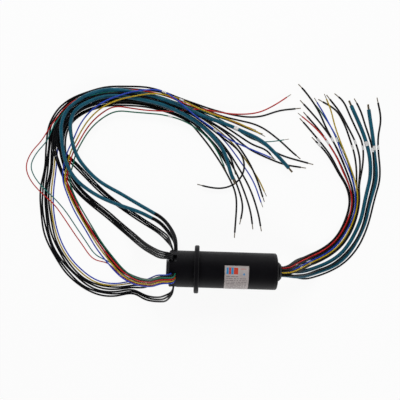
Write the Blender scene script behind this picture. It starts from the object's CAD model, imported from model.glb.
import math
import random
import bpy
import bmesh
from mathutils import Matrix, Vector
from mathutils.geometry import interpolate_bezier


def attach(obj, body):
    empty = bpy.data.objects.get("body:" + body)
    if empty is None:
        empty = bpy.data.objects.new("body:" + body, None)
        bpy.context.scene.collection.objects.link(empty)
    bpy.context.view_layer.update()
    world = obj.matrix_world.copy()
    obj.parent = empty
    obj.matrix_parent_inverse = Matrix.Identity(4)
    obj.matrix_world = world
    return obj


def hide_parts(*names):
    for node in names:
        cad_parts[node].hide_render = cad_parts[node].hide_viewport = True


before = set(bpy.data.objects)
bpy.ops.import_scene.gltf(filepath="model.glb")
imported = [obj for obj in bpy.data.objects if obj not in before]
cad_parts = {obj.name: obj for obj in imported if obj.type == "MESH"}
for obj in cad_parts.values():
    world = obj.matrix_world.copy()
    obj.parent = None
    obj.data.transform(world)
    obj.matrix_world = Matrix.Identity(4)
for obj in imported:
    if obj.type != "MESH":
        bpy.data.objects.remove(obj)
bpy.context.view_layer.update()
mm = 0.001
random.seed(7)
print("frame loaded")

# The routes of the leads repeat the points of the part's source, in millimetres. They are turned to
# metres where they are drawn, and leads of one bundle lie a little closer together than the solids do.
leadValues = {
    "black": 2.0,       # hook-up wire
    "colour": 1.5,
    "fine": 1.2,
    "cable": 4.0,       # network cable
    "boot": 4.0,        # sleeve where a cable leaves its window
    "strip": 6.0,       # bare end
    "resin": 14.5,      # radius at which the leads come out of the resin
    "barrel": 19.0,     # radius of the housing
    "snug": 0.9,        # leads of a bundle lie this much closer than the plain tubes, down to touching
    "plugFace": 84.9,
    "hubTip": 85.5,
    "table": -25.0,
}
tail = {"low": -78, "front": -18, "upper": 42, "top": 102}     # window angles, from the top towards +Y
z0 = leadValues["table"] + leadValues["black"] / 2
z1 = z0 + 2.2
z2 = z1 + 2.2
zc = leadValues["table"] + leadValues["cable"] / 2


def join(*lists):
    return [p[:3] for part in lists for p in part]


def lane(line, k):          # one lane of a bundle, k spacings to the left of its line of (x, y, z, spacing)
    out = []
    for i, (x, y, z, gap) in enumerate(line):
        a, b = line[max(i - 1, 0)], line[min(i + 1, len(line) - 1)]
        dx, dy = b[0] - a[0], b[1] - a[1]
        size = math.hypot(dx, dy)
        gap = max(leadValues["black"] + 0.02, gap * leadValues["snug"])
        out.append([x - dy / size * k * gap, y + dx / size * k * gap, z])
    return out


def windowPath(angle, side, x, points):
    s, c = math.sin(math.radians(angle)), math.cos(math.radians(angle))
    return [[x - back, reach * s + side * c, reach * c - side * s] for back, reach in points]


def outOf(angle, side, x, rise):      # straight out of a window, and starting to turn
    out = leadValues["barrel"] + rise
    return windowPath(angle, side, x, [(0, leadValues["resin"]), (0, out - 4), (1.7, out - 0.8)])


def fromWindow(angle, side, x, rise):      # the same, and on over towards the tail
    return outOf(angle, side, x, rise) + windowPath(angle, side, x, [(4.8, leadValues["barrel"] + rise)])


def straightOut(side, rise):
    return windowPath(tail["top"], side, -25.1, [(0, leadValues["resin"]), (0, leadValues["barrel"] + rise)])


def fromHub(y, z):
    return [(leadValues["plugFace"], y, z), (leadValues["hubTip"] + 7 + z * 0.27, y, z - 0.2)]


fall = {"x": 104, "y": -0.5, "z": -7, "slope": math.radians(30)}


def falling(y, z):          # a place in the bundle's section where it falls from the hub
    return [[fall["x"] + z * math.sin(fall["slope"]), fall["y"] + y, fall["z"] + z * math.cos(fall["slope"])]]


# Shared stretch of all stator leads: [x, y, spacing]
bundle = [[-161, 125, 2.3], [-158, 149, 2.3], [-143, 168, 2.3], [-118, 180, 2.3],
    [-88, 184, 2.3], [-52, 181, 2.3], [-16, 169, 2.3]]


def bundleAt(z):
    return [[x, y, z, gap] for x, y, gap in bundle]


# Approaches from the tail to the bundle: [x, y, z, spacing]
outerLoop = [[-72, -21, z0, 2.6], [-92, -24, z0, 2.6], [-112, -21, z0, 2.6], [-131, -9, z0, 2.6],
    [-147, 9, z0, 2.6], [-158, 31, z0, 2.6], [-163, 56, z0, 2.6], [-164, 80, z0, 2.6],
    [-162, 103, z0, 2.4]]
lowLine = [[-35, -32, -1, 3.2], [-40, -35, -11, 2.8], [-48, -37, -20, 2.4], [-59, -36, z0, 2.5]]
frontLine = [[-39.5, -6.5, 16.8, 2.3], [-45, -9.5, 7.5, 2.3], [-53, -15, -6, 2.4], [-62, -20, -19, 2.6]]
middleLine = [[-38, -5.5, 21.5, 2.2], [-45, -9, 13.5, 2.4], [-54, -12.7, -1, 2.4], [-67, -12.7, -15, 2.4],
    [-82, -7, -22, 2.4], [-95, 5, z0, 2.4], [-107, 20, z0, 2.4], [-119, 37, z0, 2.4],
    [-131, 55, z0, 2.4], [-140, 73, z0, 2.3], [-149, 91, -23, 2.3], [-156, 108, z1, 2.3]]
colourLine = [[-38, -9, 25, 2.2], [-46, -13, 17, 2.4], [-56, -16, 2, 2.6], [-69, -16, -12, 2.8],
    [-84, -9, -20, 3], [-97, 4, -22, 3], [-110, 20, -22, 3], [-122, 38, -22, 3],
    [-133, 56, -22, 3], [-142, 74, -21, 2.6]]
ribbonLine = [[-38, 15, 14, 2.4], [-46, 17, 6, 2.3], [-59, 22, -8, 2.1], [-73, 31, -19, 2.1],
    [-87, 41, z0, 2.1], [-103, 54, z0, 2.1], [-119, 66, z0, 2.1], [-133, 78, z0, 2.1],
    [-143, 91, z0, 2.1], [-149, 106, z0, 2.1]]
upperLine = [[-38, 27, -10, 2.6], [-43, 31, -18, 2.3], [-51, 36, z0, 2.1], [-65, 44, z0, 2.1],
    [-88, 58, z0, 2.1], [-107, 72, z0, 2.1], [-124, 87, z0, 2.1], [-139, 102, z1, 2.2]]

lowLeads = [
    join(outOf(tail["low"], 2.6, -26, 9.5), lane(lowLine, 1), lane(outerLoop + bundleAt(z0), 5),
        [[10, 172, z0], [38, 165, z0], [60, 166, z0], [82, 173, z0], [100, 176, z0]]),
    join(outOf(tail["low"], 0, -26, 8), lane(lowLine, 0), lane(outerLoop + bundleAt(z0), 4),
        [[10, 169, z0], [38, 161, z0], [62, 155, z0], [82, 141, z0], [95, 131, z0], [103, 125, z0]]),
    join(outOf(tail["low"], -2.6, -26, 6.5), lane(lowLine, -1), lane(outerLoop + bundleAt(z0), 3),
        [[9, 166, z0], [36, 157, z0], [60, 149, z0]])]
outerLeads = [
    join(fromWindow(tail["front"], -3.15, -27.9, 3), lane(frontLine, 2), lane(outerLoop + bundleAt(z0), 2),
        [[8, 163, z0], [34, 153, z0], [60, 139, z0], [82, 126, z0], [100, 120, z0], [116, 117, z0]]),
    join(fromWindow(tail["front"], -1.05, -27.9, 3), lane(frontLine, 1), lane(outerLoop + bundleAt(z0), 1),
        [[7, 160, z0], [30, 145, z0], [54, 128, z0], [82, 117, z0], [108, 112, z0]])]
outerYellow = join(fromWindow(tail["front"], 1, -27.9, 3), lane(frontLine, 0),
    lane(outerLoop + bundleAt(z0), 0),
    [[6, 157, z0], [28, 140, z0], [47, 118, z0], [62, 98, z0], [69, 84, z0]])
outerBlue = join(fromWindow(tail["front"], 2.9, -27.9, 3), lane(frontLine, -1),
    lane(outerLoop + bundleAt(z0), -1),
    [[4, 155, z0], [25, 137, z0], [43, 114, z0], [57, 93, z0], [66, 72, z0]])

ribbonTails = [
    [[3, 152, z0], [22, 134, z0], [40, 109, z0], [54, 84, z0], [63, 60, z0], [66, 46, z0]],
    [[1, 150, z0], [19, 131, z0], [36, 106, z0], [48, 80, z0], [55, 60, z0], [57, 48, z0]],
    [[-1, 147, z0], [16, 128, z0], [32, 104, z0], [42, 82, z0], [46, 66, z0], [44, 53, z0]],
    [[-3, 144, z0], [13, 124, z0], [28, 101, z0], [37, 82, z0], [39, 66, z0], [38, 38, z0]]]
ribbonLeads = [join(fromWindow(tail["upper"], 2.07 * (i - 1.5), -26.6, 4), lane(ribbonLine, 1.5 - i),
                     lane(bundleAt(z0), -2 - i), ribbonTails[i]) for i in range(4)]

middleTails = [
    [[9, 161, z1], [36, 146, z1], [58, 133, z1], [68, 130, z1], [74, 124, z1]],
    [[6, 158, z1], [30, 142, z1], [48, 120, z1], [60, 98, z1], [67, 78, z1]]]
middleLeads = [join(fromWindow(tail["front"], 1 + 2.1 * i, -26, 6), lane(middleLine + bundleAt(z1), 1 - i),
                     middleTails[i]) for i in range(2)]

# The two fine leads swing out past the loops and come back to the bundle
fineStart = middleLine[:6]
fineRed = join(fromWindow(tail["front"], -3, -26, 6), lane(fineStart, 3),
    [[-116, 4, z0], [-130, 21, z0], [-142, 38, z0], [-152, 52, -23], [-161, 64, z1], [-173, 74, z1],
    [-181, 81, z1], [-189, 90, -24.3], [-193, 101, -24.3], [-191, 112, -24.3], [-185, 122, -23],
    [-176, 132, z1]],
    [p for p in lane(bundleAt(z1), 3) if p[1] > 140],
    [[10, 168, z1], [34, 158, z1], [52, 152, z1]])
fineGreen = join(fromWindow(tail["front"], -1, -26, 6), lane(fineStart, 2),
    [[-113, 8, z0], [-126, 25, z0], [-137, 41, z0], [-147, 55, -23], [-158, 67, z1], [-170, 78, z1],
    [-178, 86, z1], [-185, 95, -24.3], [-188, 103, -24.3], [-186, 111, -24.3], [-179, 121, z1],
    [-170, 131, z1]],
    [p for p in lane(bundleAt(z1), 2) if p[1] > 140],
    [[10, 165, z1], [34, 151.5, z1], [50, 142, z1], [62, 138.5, z1], [75, 139, z1], [88, 141, z1]])

upperTails = [
    [[4, 154, z1], [26, 138, z1], [42, 124, z1], [46, 108, z1], [38, 93, z1], [24, 86, z1], [10, 86, z1],
    [1, 88, z1]],
    [[2, 150, z1], [20, 134, z1], [31, 119, z1], [35, 107, z1]],
    [[0, 147, z1], [16, 130, z1], [27, 114, z1], [32, 103, z1]]]
upperLeads = [join(outOf(tail["top"], 3 - 3 * i, -28, 5), lane(upperLine + bundleAt(z1), -1 - i),
                    upperTails[i]) for i in range(3)]


def colourStart(side, k):
    return join(fromWindow(tail["front"], side, -24.1, 9), lane(colourLine, k))


statorBlue = join(colourStart(-3, 1.5),
    [[-151, 90, -20], [-150, 106, z2], [-147, 121, z2], [-141, 134, z2], [-135, 147, -18],
    [-126, 160, -15], [-113, 171, -12.6], [-96, 180, -12.6], [-76, 187, -12.6], [-58, 189, -12],
    [-43, 187, -11], [-26, 176, -11], [-10, 163, -12], [8, 152, -14], [21, 143, -17], [35, 136, -19],
    [56, 128, -19.6], [74, 121, -19.6]])
statorYellow = join(colourStart(-1, 0.5),
    [[-149, 90, -20], [-147, 105, z2], [-144, 119, z2], [-138, 132, z2], [-131, 145, -18],
    [-123, 156, -15], [-111, 167, -12.6], [-95, 176, -12.6], [-75, 182, -12.6], [-53, 185, -12.6],
    [-30, 181, -12.6], [-8, 172, -12.6], [14, 164, -15], [36, 158, -19], [52, 151, -19.6], [62, 146, -19.6]])
statorRed = join(colourStart(1, -0.5),
    [[-147, 90, -20], [-144, 105, z2], [-141, 119, z2], [-135, 131, z2], [-129, 143, z2],
    [-120, 155, z2], [-108, 165, z2], [-97, 171, z2], [-78, 170, z2], [-59, 168, z2], [-34, 168, z2],
    [-3, 171, z2], [15, 169, z2], [39, 167, z2], [59, 169, z2], [73, 176, z2], [90, 188, -23]])
statorGreen = join(colourStart(3, -1.5),
    [[-144, 90, -20], [-141, 105, z2], [-138, 118, z2], [-132, 130, z2], [-126, 141, z2],
    [-118, 151, z2], [-107, 160, z2], [-95, 166, z2], [-78, 166, z2], [-59, 165, z2], [-42, 163, z2],
    [-20, 157, z2], [-4, 148, z2], [8, 137, z2], [18, 123, z2], [24, 110, z2]])

# Network cables: each leaves the tail in a black sleeve
boots = [
    join(straightOut(-2.1, 7), [[-27, 33, -9], [-32, 41, -16], [-38, 48, -20.5], [-44, 52.8, zc],
        [-50, 56, zc]]),
    join(straightOut(2.1, 6), [[-28, 29, -14], [-34, 36, -19.5], [-40, 43, -22.2], [-46.5, 48, -22.7],
        [-53, 51, zc]])]
cableInner = [[-50, 56, zc], [-65, 64, zc], [-87, 76, zc], [-110, 89, -20.5], [-124, 101, -17.5],
    [-136, 117, -16], [-142, 134, -16], [-144, 149, -16], [-141, 161, -16], [-134, 169, -16], [-124, 175, -16],
    [-112, 180, -16], [-97, 182, -16], [-79, 181, -16], [-58, 177, -16], [-37, 171, -16],
    [-17, 162, -16], [0, 151, -16], [12, 141, -17], [21, 129, -17.8], [27, 115, -18], [31, 103, -18],
    [34, 96, -18]]
cableOuter = [[-53, 51, zc], [-66, 57, -22], [-81, 62, -20], [-97, 67, -20], [-112, 73, -20],
    [-126, 82, -18.5], [-138, 93, -16], [-147, 109, -16], [-152, 130, -16], [-154, 147, -16], [-150, 161, -16],
    [-142, 171, -16], [-130, 180, -16], [-116, 186, -16], [-100, 189, -16], [-82, 188, -16],
    [-60, 184, -16], [-38, 178, -16], [-16, 170, -16], [4, 162, -17], [22, 156, -18], [38, 150, -18],
    [61, 140, -18], [76, 129, -19], [87, 118, -20], [94, 110, -20]]

# Rotor leads: most share a trunk, [x, y, z, spacing]
innerTrunk = [[122, 11, -21, 2.2], [136, 17.5, z0, 2.2], [149, 28, z0, 2.2], [159, 42, z0, 2.2],
    [166, 59, z0, 2.2], [168.5, 76, z0, 2.3], [166, 93, z0, 2.9]]


def trunkAt(rise):
    return [[x, y, z + rise, gap] for x, y, z, gap in innerTrunk]


rotorCableA = join(fromHub(1.5, 0), falling(0, 0), [[115, 0, -15], [127, 3, -21], [140, 8, zc],
    [152, 16, zc], [162, 28, zc], [170, 43, zc], [175, 57, zc], [178, 73, zc], [181, 87, zc], [184, 101, zc],
    [184, 114, zc], [182, 129, zc], [177, 145, zc], [169, 163, zc], [161, 181, zc]])
rotorCableB = join(fromHub(-3.6, 0), falling(-5.3, -0.5), [[116, -5.5, -15.5], [128, -2.5, -21],
    [143, 3, zc], [156, 12, zc], [167, 25, zc], [175, 40, zc], [180.5, 56, zc], [183.5, 72, zc], [187, 86, zc],
    [190, 100, zc], [190, 114, zc], [188, 129, zc], [186, 144, zc], [183, 160, zc], [180, 177, zc]])
rotorBlacksA = [
    join(fromHub(-3.3, -3.52), falling(-6, -4.3), [[116, -9.5, -19], [129, -7, z0], [144, -1, z0],
        [158, 8, z0], [170, 22, z0], [179, 38, z0], [185, 55, z0], [188, 71, z0], [191, 85, z0],
        [194.5, 99, z0], [194.5, 114, z0], [192.5, 130, z0], [192, 148, z0], [194, 166, z0], [190, 185, z0]]),
    join(fromHub(-3.3, 3.52), falling(-2.8, 4.1), [[116, -3, -10.8], [128, 0.5, -18], [142, 5.5, -20],
        [154, 14, -20], [165, 27, -20], [173, 42, -20], [178, 57, -20], [181, 73, -20], [184, 87, -20],
        [187, 101, -20], [187, 114, -20], [185, 130, -20], [181, 146, -21.5], [177, 160, z0], [172, 175, z0],
        [167, 184, z0]]),
    join(fromHub(-1.27, -3.48), falling(1.4, -3.65), lane(trunkAt(0), -2.5),
        [[175, 110, z0], [176, 126, z0], [174, 141, z0], [168, 154, z0], [160, 171, z0], [153, 185, z0],
        [147, 190, z0]]),
    join(fromHub(-1.22, 3.5), falling(1.6, 3.7), lane(trunkAt(2.2), -2),
        [[172, 110, z1], [171, 126, z1], [166, 141, z1], [158, 156, z1], [148, 174, z1], [137, 187, z1]])]
rotorBlacksB = [
    join(fromHub(-0.05, -5.18), falling(3.6, -4.5), lane(trunkAt(0), -1.5),
        [[169, 112, z0], [166, 130, z0], [160, 146, z0], [153, 162, z0], [144, 176, z0], [130, 184, z0]]),
    join(fromHub(2.62, 4.48), falling(7.4, 1.2), lane(trunkAt(2.2), 1),
        [[157, 110, z1], [149, 127, z1], [141, 143, z1], [133, 158, z1], [127, 170, z1], [118, 184, z1],
        [110, 194, z1], [106, 198, z1]]),
    join(fromHub(4.2, -3), falling(10.1, -3.5), lane(trunkAt(0), 1.5),
        [[154, 110, z0], [146, 126, z0], [137, 140, z0], [126, 154, z0], [113, 168, z0]])]
rotorBlacksC = [
    join(fromHub(2.62, -4.48), falling(7.9, -4), lane(trunkAt(0), 0.5),
        [[158, 110, z0], [150, 127, z0], [140, 145, z0], [129, 160, z0], [118, 172, z0], [109, 181, z0]]),
    join(fromHub(5.05, -1.1), falling(12.1, -2.4), lane(trunkAt(0), 2.5),
        [[150, 108, z0], [141, 124, z0], [129, 140, z0], [117, 153, z0], [109, 161, z0]]),
    join(fromHub(5.05, 1.1), falling(11.9, -0.1), lane(trunkAt(2.2), 3.2),
        [[149, 106, z1], [140, 121, z1], [131, 133, z1], [123, 141, z1]])]
rotorYellow = join(fromHub(-0.1, 5.2), falling(3.6, 3.9), lane(trunkAt(2.2), -1),
    [[163, 110, z1], [156, 127, z1], [149, 144, z1], [142, 162, z1], [138, 175, z1], [133, 187, z1]])
rotorBlue = join(fromHub(1.15, 3.5), falling(5, 2.2), lane(trunkAt(2.2), 0),
    [[160, 110, z1], [152, 128, z1], [145, 146, z1], [137, 160, z1], [131, 171, z1], [123, 183, z1]])
rotorGreen = join(fromHub(1, -3.4), falling(5.6, -3.8), lane(trunkAt(0), -0.5),
    [[162, 112, z0], [154, 131, z0], [145, 148, z0], [135, 163, z0], [126, 176, z0], [119, 184, z0]])
rotorRed = join(fromHub(4.2, 3), falling(9.4, 0.5), lane(trunkAt(2.2), 2),
    [[154, 108, z1], [147, 123, z1], [134, 142, z1], [121, 156, z1], [107, 167, z1]])
print("routes laid out")


def toLinear(hexColour):
    parts = [int(hexColour[i:i + 2], 16) / 255 for i in (1, 3, 5)]
    return [c / 12.92 if c <= 0.04045 else ((c + 0.055) / 1.055) ** 2.4 for c in parts] + [1.0]


def addNode(tree, kind, inputs=None, **settings):
    node = tree.nodes.new(kind)
    for name, value in settings.items():
        setattr(node, name, value)
    for name, value in (inputs or {}).items():
        if isinstance(value, bpy.types.NodeSocket):
            tree.links.new(value, node.inputs[name])
        else:
            node.inputs[name].default_value = value
    return node


def newSurface(name, look):
    material = bpy.data.materials.new(name)
    material.use_nodes = True
    tree = material.node_tree
    shader = tree.nodes["Principled BSDF"]
    shader.inputs["Metallic"].default_value = look.get("metallic", 0.0)
    shader.inputs["Roughness"].default_value = look["roughness"]
    if "ior" in look:
        shader.inputs["IOR"].default_value = look["ior"]
        shader.inputs["Specular IOR Level"].default_value = look.get("specular", 0.5)
    place = addNode(tree, "ShaderNodeTexCoord").outputs["Object"]
    return material, tree, shader, place


def blendColours(tree, factor, first, second):
    ramp = addNode(tree, "ShaderNodeValToRGB", {"Fac": factor})
    ramp.color_ramp.elements[0].position = 0.3
    ramp.color_ramp.elements[0].color = toLinear(first)
    ramp.color_ramp.elements[1].position = 0.7
    ramp.color_ramp.elements[1].color = toLinear(second)
    return ramp.outputs["Color"]


def grainySurface(name, look):      # two close colours in soft patches, and a fine grain in the surface
    material, tree, shader, place = newSurface(name, look)
    patches = addNode(tree, "ShaderNodeTexNoise",
                      {"Vector": place, "Scale": 1000 / look["patchMm"], "Detail": 3.0})
    grain = addNode(tree, "ShaderNodeTexNoise",
                    {"Vector": place, "Scale": 1000 / look["grainMm"], "Detail": 2.0})
    tree.links.new(blendColours(tree, patches.outputs["Fac"], *look["colours"]), shader.inputs["Base Color"])
    low, high = look["roughness"] - look["spread"], look["roughness"] + look["spread"]
    rough = addNode(tree, "ShaderNodeMapRange", {"Value": patches.outputs["Fac"], "From Min": 0.3,
                                                 "From Max": 0.7, "To Min": low, "To Max": high})
    tree.links.new(rough.outputs["Result"], shader.inputs["Roughness"])
    bump = addNode(tree, "ShaderNodeBump", {"Height": grain.outputs["Fac"], "Distance": look["bumpMm"] * mm,
                                            "Strength": look.get("bump", 0.5)})
    tree.links.new(bump.outputs["Normal"], shader.inputs["Normal"])
    return material


def turnedSurface(name, look):      # tool marks that run round the axis, a groove each markMm
    material, tree, shader, place = newSurface(name, look)
    axes = addNode(tree, "ShaderNodeSeparateXYZ", {"Vector": place})
    flat = addNode(tree, "ShaderNodeCombineXYZ", {"Y": axes.outputs["Y"], "Z": axes.outputs["Z"]})
    radius = addNode(tree, "ShaderNodeVectorMath", {0: flat.outputs["Vector"]}, operation="LENGTH")
    reach = addNode(tree, "ShaderNodeMath", {0: axes.outputs["X"], 1: radius.outputs["Value"]}, operation="ADD")
    along = addNode(tree, "ShaderNodeCombineXYZ", {"X": reach.outputs["Value"]})
    marks = addNode(tree, "ShaderNodeTexNoise", {"Vector": along.outputs["Vector"],
                                                 "Scale": 1000 / look["markMm"], "Detail": 2.0})
    tree.links.new(blendColours(tree, marks.outputs["Fac"], *look["colours"]), shader.inputs["Base Color"])
    bump = addNode(tree, "ShaderNodeBump", {"Height": marks.outputs["Fac"], "Distance": look["bumpMm"] * mm,
                                            "Strength": 0.4})
    tree.links.new(bump.outputs["Normal"], shader.inputs["Normal"])
    return material


# Black anodised aluminium, bead blasted before the dye: near black, with a soft broad sheen along the barrel.
anodisedBlack = grainySurface("anodisedAluminiumBlack", {
    "colours": ("#0e0d10", "#121114"), "roughness": 0.5, "spread": 0.05, "ior": 1.5, "specular": 0.2,
    "patchMm": 14, "grainMm": 0.35, "bumpMm": 0.01})
# The same finish on turned end faces: tool marks show faintly through the dye.
anodisedTurned = turnedSurface("anodisedAluminiumTurned", {
    "colours": ("#0d0c0f", "#141316"), "roughness": 0.42, "ior": 1.5, "specular": 0.25,
    "markMm": 0.6, "bumpMm": 0.01})
# Clear anodised aluminium, turned: pale grey with fine rings.
turnedAluminium = turnedSurface("turnedAluminiumClear", {
    "colours": ("#8a8b8f", "#a3a4a8"), "roughness": 0.42, "metallic": 1.0, "markMm": 0.4, "bumpMm": 0.01})
# Aluminium as machined, inside the barrel: bright, with wider tool marks.
machinedAluminium = turnedSurface("machinedAluminium", {
    "colours": ("#b4b6ba", "#c9cbce"), "roughness": 0.35, "metallic": 1.0, "markMm": 0.5, "bumpMm": 0.015})
# Bearing steel, ground: even and bright.
groundSteel = turnedSurface("groundBearingSteel", {
    "colours": ("#bcbfc4", "#cdd0d4"), "roughness": 0.2, "metallic": 1.0, "markMm": 0.3, "bumpMm": 0.004})
# Lapped balls: the brightest metal in it.
lappedSteel = grainySurface("lappedBallSteel", {
    "colours": ("#cfd2d6", "#d8dbdf"), "roughness": 0.1, "spread": 0.02, "metallic": 1.0,
    "patchMm": 1.5, "grainMm": 0.2, "bumpMm": 0.002})
# Stamped brass cage: warm and slightly dull.
stampedBrass = grainySurface("stampedBrass", {
    "colours": ("#b98a3e", "#cfa253"), "roughness": 0.35, "spread": 0.06, "metallic": 1.0,
    "patchMm": 3, "grainMm": 0.3, "bumpMm": 0.01})
# Zinc plated steel screws: cool grey with a light bloom.
zincSteel = grainySurface("zincPlatedSteel", {
    "colours": ("#9a9da3", "#b5b8bd"), "roughness": 0.35, "spread": 0.06, "metallic": 1.0,
    "patchMm": 2, "grainMm": 0.25, "bumpMm": 0.006})
# Oiled spring steel: dark and even.
springSteel = grainySurface("oiledSpringSteel", {
    "colours": ("#4e5055", "#5f6166"), "roughness": 0.3, "spread": 0.05, "metallic": 1.0,
    "patchMm": 3, "grainMm": 0.3, "bumpMm": 0.006})
# Gold plate on brass, turned: the tracks of the brush wires show as fine rings.
platedGold = turnedSurface("goldPlateOnBrass", {
    "colours": ("#c8963a", "#dfb455"), "roughness": 0.22, "metallic": 1.0, "markMm": 0.2, "bumpMm": 0.006})
# Hard drawn gold alloy wire: bright along its length.
drawnGold = grainySurface("drawnGoldAlloyWire", {
    "colours": ("#d9b25a", "#e6c377"), "roughness": 0.2, "spread": 0.04, "metallic": 1.0,
    "patchMm": 2, "grainMm": 0.1, "bumpMm": 0.003})
# Turned engineering plastic: ivory, with a dry waxy surface.
ivoryPlastic = turnedSurface("turnedEngineeringPlastic", {
    "colours": ("#e2dcc9", "#ece6d6"), "roughness": 0.5, "ior": 1.55, "markMm": 0.5, "bumpMm": 0.01})
# Cast epoxy resin, filled: dark grey, smooth where it levelled itself.
castResin = grainySurface("castEpoxyResin", {
    "colours": ("#1c1c1f", "#242428"), "roughness": 0.38, "spread": 0.08, "ior": 1.55,
    "patchMm": 5, "grainMm": 0.6, "bumpMm": 0.03})
# Glass epoxy board: green, with the weave of the cloth just showing.
glassBoard = grainySurface("glassEpoxyBoard", {
    "colours": ("#1f4d2c", "#2a6238"), "roughness": 0.35, "spread": 0.05, "ior": 1.55,
    "patchMm": 1.2, "grainMm": 0.5, "bumpMm": 0.01})
# Moulded nitrile rubber: matt black with a faint bloom.
nitrileRubber = grainySurface("mouldedNitrileRubber", {
    "colours": ("#0d0d0f", "#17171a"), "roughness": 0.6, "spread": 0.08, "ior": 1.52,
    "patchMm": 3, "grainMm": 0.3, "bumpMm": 0.01})
# Polyolefin shrink sleeve: matt black, slightly uneven where it shrank.
shrinkSleeve = grainySurface("polyolefinShrinkSleeve", {
    "colours": ("#0b0b0e", "#131317"), "roughness": 0.5, "spread": 0.08, "ior": 1.5, "specular": 0.3,
    "patchMm": 4, "grainMm": 0.7, "bumpMm": 0.05})
# Polyester film label, metallised: pinkish silver grey.
silverFilm = grainySurface("metallisedPolyesterFilm", {
    "colours": ("#b3a9a7", "#c3bab8"), "roughness": 0.38, "spread": 0.04, "ior": 1.5,
    "patchMm": 6, "grainMm": 0.4, "bumpMm": 0.006})
# White vinyl number tube, left blank: plain and slightly glossy.
whiteTube = grainySurface("whiteVinylTube", {
    "colours": ("#dcdcdc", "#ececec"), "roughness": 0.4, "spread": 0.05, "ior": 1.54,
    "patchMm": 3, "grainMm": 0.4, "bumpMm": 0.01})
# Tinned copper strands, drawn: pale, a little warmer where the tin is thin.
tinnedCopper = grainySurface("tinnedCopperStrands", {
    "colours": ("#b7a489", "#cfc3ae"), "roughness": 0.35, "spread": 0.08, "metallic": 1.0,
    "patchMm": 1.5, "grainMm": 0.2, "bumpMm": 0.005})


# Extruded plastic: smooth, with slow waves along the wire.
def insulation(name, first, second, roughness=0.36):
    return grainySurface(name, {"colours": (first, second), "roughness": roughness, "spread": 0.06, "ior": 1.5,
                                "patchMm": 9, "grainMm": 1.4, "bumpMm": 0.05, "bump": 0.4})


insulations = {
    "black": insulation("extrudedVinylBlack", "#070709", "#0c0c10", 0.4),
    "teal": insulation("extrudedJacketTeal", "#144e62", "#1c6076", 0.42),
    "red": insulation("extrudedVinylRed", "#b51f24", "#cc2a22"),
    "yellow": insulation("extrudedVinylMustard", "#b3951a", "#c6a92a"),
    "blue": insulation("extrudedVinylBlue", "#203cae", "#2a4cc4"),
    "green": insulation("extrudedVinylGreen", "#17614a", "#1f7058"),
    "fineGreen": insulation("extrudedVinylSeaGreen", "#1b6964", "#237a72"),
}
print("materials made")

nodeFinishes = {
    "housing": anodisedBlack, "front_cover": anodisedTurned, "rear_cap": anodisedTurned,
    "rear_centre_plate": turnedAluminium, "rear_potting": castResin, "rear_bearing_plate": machinedAluminium,
    "rear_plate_screws": zincSteel, "set_screws": springSteel, "front_bearing_outer": groundSteel,
    "front_bearing_inner": groundSteel, "front_bearing_balls": lappedSteel, "front_bearing_cage": stampedBrass,
    "rear_bearing_outer": groundSteel, "rear_bearing_inner": groundSteel, "rear_bearing_balls": lappedSteel,
    "rear_bearing_cage": stampedBrass, "rotor_shaft": anodisedTurned, "insulating_sleeve": ivoryPlastic,
    "contact_rings": platedGold, "ring_insulators": ivoryPlastic, "stack_spacer": machinedAluminium,
    "shaft_circlip": springSteel, "shaft_seal": nitrileRubber, "rotor_wire_plug": castResin,
    "terminal_board": glassBoard, "lower_brush_block": glassBoard, "upper_brush_block": glassBoard,
    "lower_brush_wires": drawnGold, "upper_brush_wires": drawnGold, "label": silverFilm,
}
for nodeName, finish in nodeFinishes.items():
    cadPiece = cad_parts[nodeName]
    for materialSlot in cadPiece.material_slots:
        materialSlot.material = finish


# Leads: one smooth curve each, through its route's points.
curveValues = {
    "stepMm": 3.0,          # distance between the points drawn
    "evenings": 4,          # rounds of averaging that take the last stiffness out of a corner
    "sides": 3,             # bevel resolution
    "handle": 0.36,         # length of a handle as a part of its stretch
    "settleMm": 70,         # length over which a lead's own wander grows to its full width
}


def smoothRoute(route):
    points = [Vector(p) * mm for p in route]
    last = len(points) - 1
    ways = [(points[min(i + 1, last)] - points[max(i - 1, 0)]).normalized() for i in range(last + 1)]
    out = []
    for i in range(last):
        size = (points[i + 1] - points[i]).length
        count = max(2, round(size / mm / curveValues["stepMm"])) + 1
        reach = size * curveValues["handle"]
        stretch = interpolate_bezier(points[i], points[i] + ways[i] * reach,
                                     points[i + 1] - ways[i + 1] * reach, points[i + 1], count)
        out += stretch[:-1]
    out.append(points[-1])
    for _ in range(curveValues["evenings"]):
        middle = [(out[i - 1] + out[i] * 2 + out[i + 1]) / 4 for i in range(2, len(out) - 2)]
        out = out[:2] + middle + out[-2:]
    return out


def wanderOff(points, width):      # a lead's own slow wander to both sides, none at its exit
    waves = [(random.uniform(45, 60), random.uniform(0, 6.3), 0.4),
             (random.uniform(80, 120), random.uniform(0, 6.3), 0.6)]      # length in mm, start, share
    out, run = [points[0]], 0
    for i in range(1, len(points)):
        run += (points[i] - points[i - 1]).length / mm
        way = points[min(i + 1, len(points) - 1)] - points[i - 1]
        side = Vector((-way.y, way.x, 0)).normalized()
        sway = sum(part * math.sin(2 * math.pi * run / size + start) for size, start, part in waves)
        out.append(points[i] + side * sway * width * mm * min(1, run / curveValues["settleMm"]) ** 2)
    return out


def drawTube(name, points, diameter, finish):
    curve = bpy.data.curves.new(name, "CURVE")
    curve.dimensions = "3D"
    curve.bevel_depth = diameter / 2 * mm
    curve.bevel_resolution = curveValues["sides"]
    curve.use_fill_caps = True
    spline = curve.splines.new("POLY")
    spline.points.add(len(points) - 1)
    for spot, p in zip(spline.points, points):
        spot.co = (*p, 1.0)
    spline.use_smooth = True
    curve.materials.append(finish)
    tube = bpy.data.objects.new(name, curve)
    bpy.context.collection.objects.link(tube)
    return tube


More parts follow.
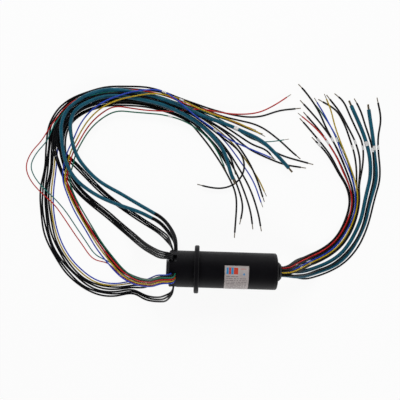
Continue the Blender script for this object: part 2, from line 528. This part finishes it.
strandValues = {
    "strands": 7, "turns": 0.8, "rings": 7, "sides": 6,
    "bundle": 0.6,          # width of the bare end as a part of the lead's
    "strand": 0.36,         # width of one strand as a part of the bare end's
    "uneven": 0.5,          # how much shorter a strand may be, in mm
}


def strippedEnd(name, points, diameter):        # twisted bare strands past the end of the insulation
    tip, way = points[-1], (points[-1] - points[-2]).normalized()
    side = way.orthogonal().normalized()
    up = way.cross(side)
    core = diameter * strandValues["bundle"] / 2 * mm
    thin = core * strandValues["strand"]
    mesh = bmesh.new()
    for s in range(strandValues["strands"]):
        out = 0 if s == 0 else core - thin
        length = (leadValues["strip"] - random.uniform(0, strandValues["uneven"])) * mm
        rings = []
        for r in range(strandValues["rings"]):
            part = r / (strandValues["rings"] - 1)
            turn = 2 * math.pi * (s / (strandValues["strands"] - 1) + strandValues["turns"] * part)
            centre = tip + way * (part * length - 0.5 * mm * (1 - part))
            centre += (side * math.cos(turn) + up * math.sin(turn)) * out
            angles = [2 * math.pi * k / strandValues["sides"] for k in range(strandValues["sides"])]
            rings.append([mesh.verts.new(centre + (side * math.cos(a) + up * math.sin(a)) * thin)
                          for a in angles])
        for a, b in zip(rings, rings[1:]):
            for k in range(strandValues["sides"]):
                mesh.faces.new((a[k], a[k - 1], b[k - 1], b[k]))
        mesh.faces.new(rings[0])
        mesh.faces.new(rings[-1][::-1])
    bmesh.ops.recalc_face_normals(mesh, faces=mesh.faces)
    data = bpy.data.meshes.new(name)
    mesh.to_mesh(data)
    mesh.free()
    data.materials.append(tinnedCopper)
    for face in data.polygons:
        face.use_smooth = True
    end = bpy.data.objects.new(name, data)
    bpy.context.collection.objects.link(end)
    return end


# Blank number tubes pushed over the leads, each placed by the x or y in mm at which it sits
numberTube = {"length": 5.0, "wall": 0.25, "slack": 0.05}


def lastCrossing(points, axis, value):      # the place nearest to the tip where the lead passes a coordinate
    place = "xyz".index(axis)
    past = [p[place] / mm - value for p in points]
    spots = [i for i in range(3, len(points) - 2) if past[i] * past[i + 1] <= 0]
    return spots[-1] if spots else len(points) - 6


def slideTube(name, points, spot, diameter):
    middle = points[spot]
    way = (points[spot + 1] - points[spot - 1]).normalized() * numberTube["length"] / 2 * mm
    wide = diameter + 2 * (numberTube["wall"] + numberTube["slack"])
    return drawTube(name, [middle - way, middle - way / 3, middle + way / 3, middle + way], wide, whiteTube)


def layLead(name, route, kind, colour, node, body, wander=0.4, tubes=()):
    diameter = leadValues[kind]
    points = wanderOff(smoothRoute(route), wander)
    tube = drawTube(name, points, diameter, insulations[colour])
    extras = [strippedEnd(name + "-end", points, diameter)]
    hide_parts(body + "_wire_ends")
    for i, (axis, value) in enumerate(tubes):
        extras.append(slideTube(f"{name}-number-{i + 1}", points, lastCrossing(points, axis, value), diameter))
        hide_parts(body + "_markers")
    for piece in [tube] + extras:
        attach(piece, body)
    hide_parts(node)


def layAll(name, routes, kind, colour, node, body, wander=0.4, tubes=()):
    for i, route in enumerate(routes):
        layLead(f"{name}-{i + 1}", route, kind, colour, node, body, wander, tubes[i:i + 1])


for i, route in enumerate(boots):
    points = smoothRoute(route)
    sleeve = drawTube(f"cable-sleeve-{i + 1}", points, leadValues["boot"], shrinkSleeve)
    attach(sleeve, "stator")
    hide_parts("cable_boots")

layAll("low-black", lowLeads, "black", "black", "low_blacks", "stator", 0.8)
layAll("loop-black", outerLeads, "black", "black", "loop_blacks", "stator", 0.8)
layAll("ribbon-black", ribbonLeads, "black", "black", "ribbon_blacks", "stator", 0.2)
layAll("middle-black", middleLeads, "black", "black", "middle_blacks", "stator")
layAll("upper-black", upperLeads, "black", "black", "upper_blacks", "stator")
layLead("loop-yellow", outerYellow, "colour", "yellow", "loop_yellow", "stator")
layLead("loop-blue", outerBlue, "colour", "blue", "loop_blue", "stator")
layLead("stator-blue", statorBlue, "colour", "blue", "stator_blue", "stator", tubes=[("x", -43), ("x", 15)])
layLead("stator-yellow", statorYellow, "colour", "yellow", "stator_yellow", "stator", tubes=[("x", -22)])
layLead("stator-red", statorRed, "colour", "red", "stator_red", "stator")
layLead("stator-green", statorGreen, "colour", "green", "stator_green", "stator", tubes=[("x", -36)])
layLead("fine-red", fineRed, "fine", "red", "fine_red", "stator")
layLead("fine-green", fineGreen, "fine", "fineGreen", "fine_green", "stator")
layLead("stator-cable-inner", cableInner, "cable", "teal", "stator_cable_inner", "stator")
layLead("stator-cable-outer", cableOuter, "cable", "teal", "stator_cable_outer", "stator", tubes=[("x", 38)])
print("stator leads laid")

layAll("rotor-black-a", rotorBlacksA, "black", "black", "rotor_blacks_a", "rotor",
       tubes=[("y", 138), ("y", 134), ("y", 138), ("y", 141)])
layAll("rotor-black-b", rotorBlacksB, "black", "black", "rotor_blacks_b", "rotor",
       tubes=[("y", 136), ("y", 145), ("y", 146)])
layAll("rotor-black-c", rotorBlacksC, "black", "black", "rotor_blacks_c", "rotor",
       tubes=[("y", 134), ("y", 143), ("y", 137)])
layLead("rotor-yellow", rotorYellow, "colour", "yellow", "rotor_yellow", "rotor")
layLead("rotor-blue", rotorBlue, "colour", "blue", "rotor_blue", "rotor", tubes=[("y", 144)])
layLead("rotor-green", rotorGreen, "colour", "green", "rotor_green", "rotor", tubes=[("y", 133)])
layLead("rotor-red", rotorRed, "colour", "red", "rotor_red", "rotor", tubes=[("y", 141)])
layLead("rotor-cable-a", rotorCableA, "cable", "teal", "rotor_cable_a", "rotor", tubes=[("y", 140)])
layLead("rotor-cable-b", rotorCableB, "cable", "teal", "rotor_cable_b", "rotor", tubes=[("y", 135)])
print("rotor leads laid")


# Label print: plain colour blocks and rows of bars that stand in for lines of print.
labelValues = {"film": 0.15, "lift": 0.02, "line": 6.4, "print": 2.4, "left": 27.6, "right": 48.6}


def inkSurface(name, colour, paler):      # screen printed ink: flat, with a slightly broken edge to its tone
    return grainySurface(name, {"colours": (colour, paler), "roughness": 0.5, "spread": 0.04, "ior": 1.5,
                                "patchMm": 0.8, "grainMm": 0.3, "bumpMm": 0.004})


inks = [inkSurface("screenInkBlue", "#2383be", "#3d97cc"), inkSurface("screenInkRed", "#c93a28", "#d85442"),
        inkSurface("screenInkGrey", "#6d6466", "#857c7d")]


def printPatches(name, patches):      # each patch: start and end along the axis, start and end angle, ink
    mesh = bmesh.new()
    radius = (leadValues["barrel"] + labelValues["film"] + labelValues["lift"]) * mm
    for x0, x1, a0, a1, ink in patches:
        steps = max(2, round(abs(a1 - a0) / 3))
        rows = []
        for k in range(steps + 1):
            a = math.radians(a0 + (a1 - a0) * k / steps)
            y, z = radius * math.sin(a), radius * math.cos(a)
            rows.append([mesh.verts.new((x * mm, y, z)) for x in (x0, x1)])
        for low, high in zip(rows, rows[1:]):
            face = mesh.faces.new((low[0], low[1], high[1], high[0]))
            face.material_index = ink
            face.smooth = True
    bmesh.ops.recalc_face_normals(mesh, faces=mesh.faces)
    inward = []
    for face in mesh.faces:
        middle = face.calc_center_median()
        if face.normal.dot(Vector((0, middle.y, middle.z))) < 0:
            inward.append(face)
    bmesh.ops.reverse_faces(mesh, faces=inward)
    data = bpy.data.meshes.new(name)
    mesh.to_mesh(data)
    mesh.free()
    for ink in inks:
        data.materials.append(ink)
    patch = bpy.data.objects.new(name, data)
    bpy.context.collection.objects.link(patch)
    return patch


blocks = [(27.8, 30.0, 16, -4, 0), (30.3, 32.4, 16, -4, 1), (32.7, 35.0, 16, -4, 0), (35.3, 39.6, 16, -4, 1)]
sideMark = [(44.4, 46.8, -2, -4.5, 0), (45.2, 46.0, 1, -7.5, 0), (42.0, 47.8, 13, 11.8, 1)]
bars = []
for row in range(13):
    angle = -10 - row * labelValues["line"]
    x = labelValues["left"]
    limit = labelValues["right"] - (7 if row == 0 else 0)
    while x < limit - 1:
        size = random.choice((1.2, 2.0, 2.8, 4.0))
        bars.append((x, min(x + size, limit), angle, angle - labelValues["print"], 2))
        x += size + random.choice((0.6, 0.9, 1.4))
frameLine = [(26.6, 49.9, 20.5, 20.1, 2), (26.6, 49.9, -93.1, -93.5, 2), (26.6, 26.75, 20.1, -93.1, 2),
             (49.75, 49.9, 20.1, -93.1, 2)]
labelPrint = printPatches("label-print", blocks + sideMark + bars + frameLine)
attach(labelPrint, "stator")
print("label printed")

# Floor, camera and light
stageValues = {
    "floor": -0.025, "size": 6.0,
    "cameraAt": (-0.0012, 0.0725, 0.52), "roll": 1.8, "lens": 44.7,
    "keyWatts": 9.0, "fillWatts": 5.0,
    "glow": 0.92,           # how much of the floor's look is its own even white
}


def seenPlainly(tree):      # 1 for what the camera sees directly, in a reflection or through glass
    path = addNode(tree, "ShaderNodeLightPath")
    seen = path.outputs["Is Camera Ray"]
    for ray in ("Is Glossy Ray", "Is Transmission Ray"):
        seen = addNode(tree, "ShaderNodeMath", {0: seen, 1: path.outputs[ray]}, operation="MAXIMUM").outputs[0]
    return seen


def paleFloor():
    mesh = bpy.data.meshes.new("floor")
    half = stageValues["size"] / 2
    corners = [(-half, -half, 0), (half, -half, 0), (half, half, 0), (-half, half, 0)]
    mesh.from_pydata(corners, [], [(0, 1, 2, 3)])
    floor = bpy.data.objects.new("floor", mesh)
    floor.location.z = stageValues["floor"] - 0.0002
    bpy.context.collection.objects.link(floor)
    material = bpy.data.materials.new("paleFloor")
    material.use_nodes = True
    tree = material.node_tree
    shader = tree.nodes["Principled BSDF"]
    shader.inputs["Base Color"].default_value = toLinear("#f4f4f4")
    shader.inputs["Roughness"].default_value = 0.8
    shader.inputs["Specular IOR Level"].default_value = 0.1
    glow = addNode(tree, "ShaderNodeEmission", {"Color": (1, 1, 1, 1), "Strength": 1.0})
    part = addNode(tree, "ShaderNodeMath", {0: seenPlainly(tree), 1: stageValues["glow"]}, operation="MULTIPLY")
    mix = addNode(tree, "ShaderNodeMixShader", {0: part.outputs[0], 1: shader.outputs[0], 2: glow.outputs[0]})
    tree.links.new(mix.outputs[0], tree.nodes["Material Output"].inputs["Surface"])
    mesh.materials.append(material)


def softSky():      # white round the horizon, dim overhead, so that black satin stays black from above
    world = bpy.data.worlds.new("softSky")
    world.use_nodes = True
    tree = world.node_tree
    back = tree.nodes["Background"]
    place = addNode(tree, "ShaderNodeTexCoord").outputs["Generated"]
    height = addNode(tree, "ShaderNodeSeparateXYZ", {"Vector": place}).outputs["Z"]
    shade = addNode(tree, "ShaderNodeMapRange", {"Value": height, "From Min": 0.1, "From Max": 0.5,
                                                 "To Min": 1.0, "To Max": 0.05})
    strength = addNode(tree, "ShaderNodeMapRange", {"Value": seenPlainly(tree), "To Min": 0.75, "To Max": 1.0})
    tree.links.new(shade.outputs["Result"], back.inputs["Color"])
    tree.links.new(strength.outputs["Result"], back.inputs["Strength"])
    bpy.context.scene.world = world


def softLight(name, place, size, watts):
    data = bpy.data.lights.new(name, "AREA")
    data.shape = "RECTANGLE"
    data.size, data.size_y = size
    data.energy = watts
    lamp = bpy.data.objects.new(name, data)
    lamp.location = place
    lamp.visible_glossy = False
    lamp.rotation_euler = (Vector((0, 0.05, 0)) - Vector(place)).to_track_quat("-Z", "Y").to_euler()
    bpy.context.collection.objects.link(lamp)


paleFloor()
softSky()
softLight("keyLight", (-0.1, 0.9, 0.7), (1.2, 0.5), stageValues["keyWatts"])
softLight("fillLight", (0.2, -0.8, 0.6), (1.0, 0.4), stageValues["fillWatts"])

cameraData = bpy.data.cameras.new("camera")
cameraData.sensor_width = 36
cameraData.lens = stageValues["lens"]
camera = bpy.data.objects.new("camera", cameraData)
camera.location = stageValues["cameraAt"]
camera.rotation_euler = (0, 0, math.radians(stageValues["roll"]))
bpy.context.collection.objects.link(camera)
bpy.context.scene.camera = camera
bpy.context.scene.view_settings.view_transform = "Standard"
print("stage set")
